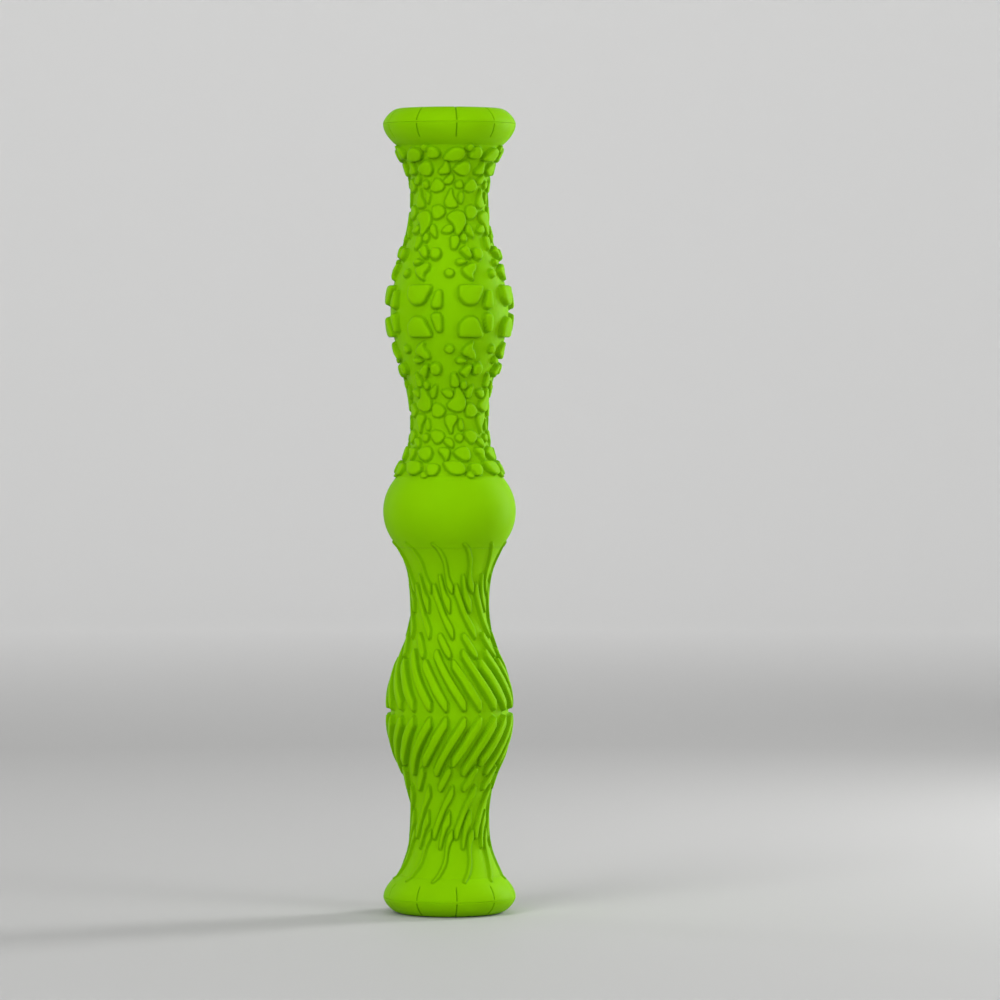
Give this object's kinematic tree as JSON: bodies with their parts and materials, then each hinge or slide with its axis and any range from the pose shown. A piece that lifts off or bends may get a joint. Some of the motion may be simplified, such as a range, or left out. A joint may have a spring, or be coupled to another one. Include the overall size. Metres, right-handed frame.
{
  "type": "foot massage roller",
  "caption": "Rigid foot massage roller with a pebbled barrel and a ridged barrel either side of a smooth bulge, flared round flanges at the ends, and a soft skin over a screwed split core.",
  "frame": {"origin": "centre of the wave end's flat face, which the roller stands on", "axes": "+Z along the roller's axis from the wave end to the pebble end; X and Y across it, with the core's split plane at Y = 0 and the screw heads towards -Y"},
  "size_m": [0.057, 0.057, 0.345],
  "materials": {
    "lime_skin": "satin soft-touch elastomer",
    "core_plastic": "moulded, matte",
    "screw_steel": "zinc-plated"
  },
  "bodies": {
    "root": {"pebble_sleeve": "lime_skin", "wave_sleeve": "lime_skin", "centre_collar": "lime_skin", "pebble_end_flange": "lime_skin", "wave_end_flange": "lime_skin", "pebble_end_cap": "lime_skin", "wave_end_cap": "lime_skin", "core_half_front": "core_plastic", "core_half_rear": "core_plastic", "core_screw_1": "screw_steel", "core_screw_2": "screw_steel", "core_screw_3": "screw_steel", "core_screw_4": "screw_steel", "core_screw_5": "screw_steel", "core_screw_6": "screw_steel", "core_screw_7": "screw_steel", "core_screw_8": "screw_steel", "core_screw_9": "screw_steel", "core_screw_10": "screw_steel"}
  },
  "joints": []
}
